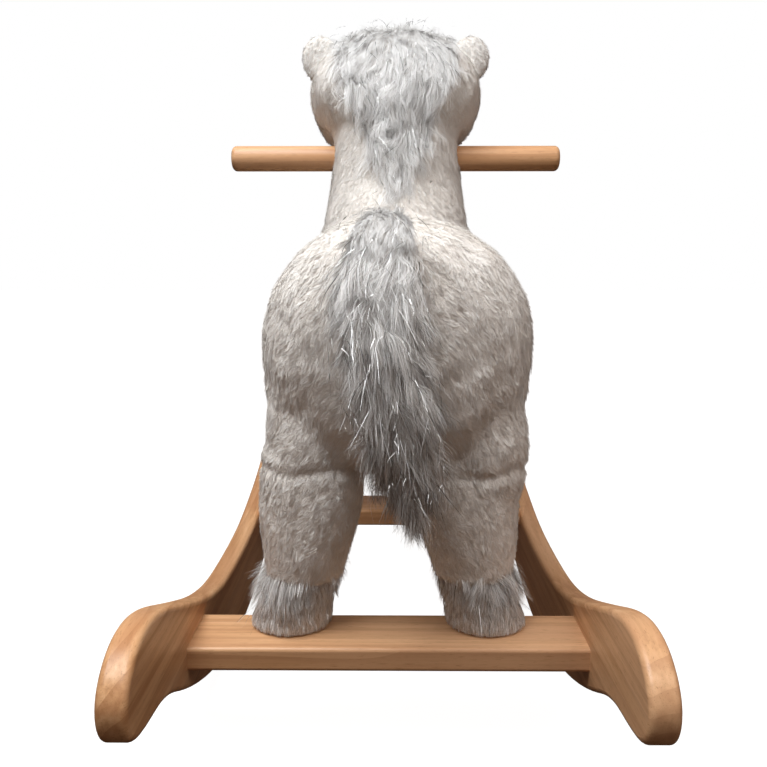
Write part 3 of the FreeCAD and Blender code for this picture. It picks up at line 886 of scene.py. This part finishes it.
# the tail: a slim stuffed core under layers of long pile
tail_path = [             # from the dock: sideways, back, up, half width, half thickness
    (0, 6, 7, 9, 4), (1, 18, 6, 16, 6), (4, 32, -4, 20, 7), (7, 41, -30, 21, 7), (5, 46, -66, 19, 8),
    (-3, 47, -106, 21, 9), (-11, 44, -142, 18, 9), (-15, 41, -168, 11, 7), (-17, 40, -182, 4, 4),
]
tail_stations = [(*(dock_at + np.array(place[:3]) * MM), place[3] * MM, place[4] * MM) for place in tail_path]
tail_core = merged("tail_core", [tube("core", tail_stations)], 2.5 * MM, 2)
grey_backing = backing_cloth("grey_backing", (0.74, 0.71, 0.68), (0.50, 0.45, 0.41))
paint(tail_core, grey_backing)
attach(tail_core, "tail")
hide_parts("tail")
tail_surface = arrays(tail_core)
tail_tree = BVHTree.FromPolygons([Vector(p) for p in tail_surface[0]], tail_surface[2].tolist())

dock = ball("tail_root", dock_at, (9 * MM, 9 * MM, 9 * MM), 12)
paint(dock, grey_backing)
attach(dock, "tail_dock")
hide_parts("tail_dock")


def tail_flow(roots):
    """Along the tail from its root to its tip, and fanned out to both sides."""
    path = np.array([station[:3] for station in tail_stations])
    ways = unit(np.gradient(path, axis=0))
    nearest = np.linalg.norm(roots[:, None] - path[None], axis=2).argmin(axis=1)
    offset = (roots[:, 0] - path[nearest, 0]) / (24 * MM)
    narrowing = np.clip((roots[:, 2] - dock_at[2] + 150 * MM) / (60 * MM), -0.6, 1.0)
    fan = np.stack([0.35 * offset * narrowing, np.zeros(len(roots)), np.zeros(len(roots))], axis=1)
    return unit(ways[nearest] + fan)


def tail_hair(count, seed):
    rng = np.random.default_rng(seed)
    roots, normals = scatter(tail_surface, count, rng)
    flow = comb(roots, normals, tail_flow(roots), rng, 0.26, 30 * MM, seed)
    length = rng.uniform(24, 42, count) * MM * (1 - 0.55 * (roots[:, 2] > dock_at[2] - 12 * MM))
    return roots, normals, flow, length, rng


def painted_shade_by_height(roots, top, bottom, rng, at_top, at_foot):
    """The shade of each strand: its odds change steadily between two heights, so that the darker strands
    gathered low down are painted shade.
    """
    share = np.clip((top - roots[:, 2]) / (top - bottom), 0, 1)[:, None]
    odds = np.cumsum(np.array(at_top) * (1 - share) + np.array(at_foot) * share, axis=1)
    return (rng.random(len(roots))[:, None] > odds).sum(axis=1)


roots, normals, flow, length, rng = tail_hair(30000, 41)
tail_pile = long_pile(roots, normals, flow, length, rng, lift=0.5, droop=0.35, clump=0.45, wave=0.24,
                      width=0.30 * MM, keep_off=tail_tree, in_a_lock=28,
                      uplift=np.clip((roots[:, 2] - dock_at[2] + 95 * MM) / (80 * MM), 0, 1) * 0.6)
tail_foot = dock_at[2] - 180 * MM
# painted shade: strands turn darker more often towards the tail's foot, on top of tones picked at random
tail_tone_and_painted_shade = painted_shade_by_height(roots, dock_at[2], tail_foot, rng, (0.70, 0.26, 0.04), (0.20, 0.44, 0.36))
tail_meshes = in_shades("tail_pile", tail_pile, silver_shades, tail_tone_and_painted_shade)
show_strands(tail_meshes, silver_materials, "tail")
roots, normals, flow, length, rng = tail_hair(460, 43)
add_tinsel("tail_tinsel", roots, normals, flow, length * 0.8, rng, "tail", 17 * MM, lift=0.2, droop=0.25)


# the mane: long pile over the back of the head and down the neck, and the forelock in front
def mane_half_width(z):
    heights = handle_at[2] + np.array([-28, -12, 8, 28, 54, 85, 135]) * MM
    return np.interp(z, heights, np.array([6, 14, 25, 33, 46, 58, 46]) * MM)


def on_mane(centres, normals):
    inside = np.abs(centres[:, 0] - lean) < mane_half_width(centres[:, 2])
    behind = (centres[:, 1] > handle_at[1] - 60 * MM) & ((normals[:, 1] > 0.1) | (normals[:, 2] > 0.45))
    return (inside & behind & (centres[:, 2] > handle_at[2] - 32 * MM)) * 1.0


def on_forelock(centres, normals):
    ahead = (centres[:, 1] < handle_at[1] - 15 * MM) & (centres[:, 1] > handle_at[1] - 95 * MM)
    on_brow = (centres[:, 2] > handle_at[2] + 40 * MM) & (normals[:, 2] > 0.4)
    return (ahead & on_brow & (np.abs(centres[:, 0] - lean) < 27 * MM)) * 1.0


def mane_hair(count, seed):
    rng = np.random.default_rng(seed)
    roots, normals = scatter(skin_surface, count, rng, on_mane)
    off_centre = np.clip((roots[:, 0] - lean) / (45 * MM), -1, 1)
    crown = np.clip((roots[:, 2] - handle_at[2] - 70 * MM) / (40 * MM), 0, 1)
    drift = off_centre * (0.9 * crown - 0.5 * (1 - crown))
    down = np.stack([drift, 0.35 + 0.5 * crown, np.full(count, -1.0)], axis=1)
    flow = comb(roots, normals, down, rng, 0.35, 30 * MM, seed)
    length = rng.uniform(24, 40, count) * MM * (1 - 0.4 * crown)
    lift = 0.5 - 0.2 * crown
    return roots, normals, flow, length, lift, rng


mane_top, mane_foot = handle_at[2] + 110 * MM, handle_at[2] - 20 * MM
roots, normals, flow, length, lift, rng = mane_hair(28000, 51)
mane_pile = long_pile(roots, normals, flow, length, rng, lift=lift, droop=0.4, clump=0.42, wave=0.26,
                      width=0.30 * MM, keep_off=skin_tree, in_a_lock=26, uplift=0.45)
# painted shade: darker strands more often towards the foot of the mane, on top of tones picked at random
mane_tone_and_painted_shade = painted_shade_by_height(roots, mane_top, mane_foot, rng, (0.92, 0.08, 0), (0.62, 0.28, 0.10))
mane_meshes = in_shades("mane_pile", mane_pile, silver_shades, mane_tone_and_painted_shade)
show_strands(mane_meshes, silver_materials, "horse")
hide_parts("mane")
roots, normals, flow, length, lift, rng = mane_hair(360, 53)
add_tinsel("mane_tinsel", roots, normals, flow, length * 0.6, rng, "horse", 13 * MM, lift=lift, droop=0.35)

rng = np.random.default_rng(55)
roots, normals = scatter(skin_surface, 3600, rng, on_forelock)
ahead = np.stack([(roots[:, 0] - lean) * 6, np.full(len(roots), -1.0), np.full(len(roots), -0.5)], axis=1)
flow = comb(roots, normals, ahead, rng, 0.3, 25 * MM, 56)
forelock = long_pile(roots, normals, flow, rng.uniform(22, 34, len(roots)) * MM, rng, lift=0.4,
                     width=0.30 * MM, keep_off=skin_tree)
# painted shade: darker strands more often lower down, on top of tones picked at random
forelock_tone_and_painted_shade = painted_shade_by_height(roots, mane_top, mane_foot, rng, (0.8, 0.18, 0.02), (0.6, 0.28, 0.12))
forelock_meshes = in_shades("forelock_pile", forelock, silver_shades, forelock_tone_and_painted_shade)
show_strands(forelock_meshes, silver_materials, "horse")
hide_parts("forelock")


# the hooves: grey cloth boots, with long pile that lies down over their upper half
hoof_cloth = backing_cloth("hoof_cloth", (0.66, 0.635, 0.62), (0.47, 0.44, 0.42), 0.4)
hoof_shades = {"light": 0.36, "mid": 0.46, "dark": 0.18}
fetlock_shades = {"light": 0.5, "mid": 0.36, "dark": 0.14}
toe_out = 5.5 * MM             # the foot of a boot stands this much further out than its ankle
nap_count, fetlock_count, hoof_tinsel_count = 9000, 5200, 30


def boot_shape(name, low, high, ankle):
    """Round and flat-soled, wider at the ground than at the ankle."""
    centre = (low + high) / 2
    profile = [          # share of the height, radius
        (0.0, 26.5), (0.025, 29.2), (0.08, 30), (0.25, 29.6), (0.55, 28), (0.85, 26.6), (1.15, 26), (1.5, 26),
    ]
    centre[0] += math.copysign(toe_out, centre[0])
    rings = []
    for share, radius in profile:
        drift = share / profile[-1][0]
        at = centre * (1 - drift) + ankle * drift
        at[2] = low[2] + share * (high[2] - low[2])
        rings.append(ring(at, (1, 0, 0), (0, 1, 0), radius * MM, radius * MM))
    return merged(name, [loft("boot", rings)], 2.5 * MM, 2)


def boot_roots(surface, low, rise, count, rng):
    """Points round the boot above a height, not on its sole or top."""
    def on_side(centres, normals):
        return ((centres[:, 2] > low[2] + rise) & (np.abs(normals[:, 2]) < 0.6)) * 1.0

    return scatter(surface, count, rng, on_side)


def boot_flow(roots, normals, rng, spread, seed):
    down = unit(normals * np.array([1, 1, 0])) * spread - UP
    return comb(roots, normals, down, rng, 0.25, 22 * MM, seed)


for end, hand in LEGS:
    low, high = corners(f"{end}_{hand}_hoof")
    name = f"{end}_{hand}"
    seed = 60 + 5 * LEGS.index((end, hand))
    centre_x = middle(f"{name}_hoof")[0]
    boot = boot_shape(f"{name}_hoof_cloth", low, high, middle(f"{name}_leg"))
    paint(boot, hoof_cloth)
    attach(boot, "horse")
    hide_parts(f"{name}_hoof")
    surface = arrays(boot)
    tree = BVHTree.FromPolygons([Vector(p) for p in surface[0]], surface[2].tolist())
    clear_of_bar = crossbar_top + 1.2 * MM
    settings = {"points": 6, "floor_z": clear_of_bar, "keep_off": tree}

    rng = np.random.default_rng(seed)
    roots, normals = boot_roots(surface, low, 3 * MM, nap_count, rng)
    flow = boot_flow(roots, normals, rng, 0.0, seed)
    length = np.minimum(rng.uniform(4, 7, nap_count) * MM, (roots[:, 2] - low[2]) * 0.9)
    nap = long_pile(roots, normals, flow, length, rng, lift=0.15, clump=0.3, wave=0.1,
                    width=0.26 * MM, in_a_lock=12, **settings)
    nap_meshes = in_shades(f"{name}_hoof_nap", nap, hoof_shades, shade_numbers(hoof_shades, len(roots), rng))
    show_strands(nap_meshes, silver_materials, "horse")

    rng = np.random.default_rng(seed + 2)
    roots, normals = boot_roots(surface, low, 33 * MM, fetlock_count, rng)
    flow = boot_flow(roots, normals, rng, 0.25, seed)
    outer = np.clip(normals[:, 0] * np.sign(centre_x) + 0.2, 0, 1)
    length = rng.uniform(12, 22, fetlock_count) * MM * (0.8 + 0.5 * outer)
    pile = long_pile(roots, normals, flow, length, rng, lift=0.30 + 0.35 * outer, droop=0.3, wave=0.16,
                     clump=0.45, width=0.30 * MM, uplift=0.3, **settings)
    shade = shade_numbers(fetlock_shades, fetlock_count, rng)
    meshes = in_shades(f"{name}_fetlock_pile", pile, silver_shades, shade)
    show_strands(meshes, silver_materials, "horse")
    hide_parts(f"{name}_fetlock")

    rng = np.random.default_rng(seed + 1)
    roots, normals = boot_roots(surface, low, 12 * MM, hoof_tinsel_count, rng)
    flow = boot_flow(roots, normals, rng, 0.2, seed)
    length = rng.uniform(10, 26, hoof_tinsel_count) * MM
    add_tinsel(f"{name}_hoof_tinsel", roots, normals, flow, length, rng, "horse", 3 * MM,
               lift=0.4, **settings)


# ---- camera, floor and light --------------------------------------------------------------------
def look_at(item, target):
    way = Vector(target) - item.location
    item.rotation_euler = way.to_track_quat("-Z", "Y").to_euler()


def add_camera():
    data = bpy.data.cameras.new("camera")
    data.sensor_width = 36
    data.lens = 39.9
    camera = bpy.data.objects.new("camera", data)
    bpy.context.collection.objects.link(camera)
    camera.location = (-0.0015, 0.805, 0.3627)
    pitch, turn = math.radians(8.6), 0.0085
    camera.rotation_mode = "XYZ"
    camera.rotation_euler = (math.pi / 2 - pitch, 0, math.pi + turn)
    bpy.context.scene.camera = camera


def add_floor():
    reach = 8.0
    corners_of_floor = [(-reach, -reach, 0), (reach, -reach, 0), (reach, reach, 0), (-reach, reach, 0)]
    floor = mesh_object("floor", corners_of_floor, [(0, 1, 2, 3)])
    floor.location.z = -0.5 * MM
    pale = Recipe("pale_floor", Roughness=0.9, Emission_Color=(1, 1, 1, 1), Emission_Strength=0.97)
    mottle = pale.noise(3.0, 2)
    pale.colour(pale.ramp(mottle, [(0.3, (0.22, 0.22, 0.22)), (0.7, (0.25, 0.25, 0.25))]))
    paint(floor, pale.material)
    floor.visible_diffuse = False
    floor.visible_glossy = False


def add_area_light(name, place, target, size, power, colour):
    data = bpy.data.lights.new(name, "AREA")
    data.shape = "DISK"
    data.size = size
    data.energy = power
    data.color = colour
    lamp = bpy.data.objects.new(name, data)
    bpy.context.collection.objects.link(lamp)
    lamp.location = place
    look_at(lamp, target)


def set_world():
    """White behind the object, and a dim warm light from all round."""
    world = bpy.data.worlds.new("studio")
    bpy.context.scene.world = world
    world.use_nodes = True
    tree = world.node_tree
    backdrop = tree.nodes["Background"]
    backdrop.inputs["Color"].default_value = (1, 1, 1, 1)
    room = tree.nodes.new("ShaderNodeBackground")
    way = tree.nodes.new("ShaderNodeTexCoord")
    height = tree.nodes.new("ShaderNodeSeparateXYZ")
    upness = tree.nodes.new("ShaderNodeMapRange")
    upness.inputs["From Min"].default_value = -1
    shades = tree.nodes.new("ShaderNodeValToRGB")
    elements = shades.color_ramp.elements
    elements[0].color = (0.03, 0.018, 0.012, 1)
    elements[1].color = (0.42, 0.36, 0.32, 1)
    elements.new(0.40).color = (0.06, 0.040, 0.030, 1)
    elements.new(0.55).color = (0.21, 0.155, 0.125, 1)
    tree.links.new(way.outputs["Generated"], height.inputs[0])
    tree.links.new(height.outputs["Z"], upness.inputs["Value"])
    tree.links.new(upness.outputs["Result"], shades.inputs["Fac"])
    tree.links.new(shades.outputs["Color"], room.inputs["Color"])
    path = tree.nodes.new("ShaderNodeLightPath")
    mix = tree.nodes.new("ShaderNodeMixShader")
    tree.links.new(path.outputs["Is Camera Ray"], mix.inputs["Fac"])
    tree.links.new(room.outputs[0], mix.inputs[1])
    tree.links.new(backdrop.outputs[0], mix.inputs[2])
    tree.links.new(mix.outputs[0], tree.nodes["World Output"].inputs["Surface"])


add_camera()
add_floor()
set_world()
add_area_light("ceiling_light", (0.38, 0.50, 1.55), (0, 0.1, 0.3), 1.0, 25, (0.97, 1.0, 1.01))
add_area_light("side_light", (-0.9, 0.7, 1.3), (0, 0.1, 0.4), 0.9, 4.5, (1.0, 0.97, 0.94))
bpy.context.scene.view_settings.view_transform = "Standard"

bpy.context.view_layer.update()
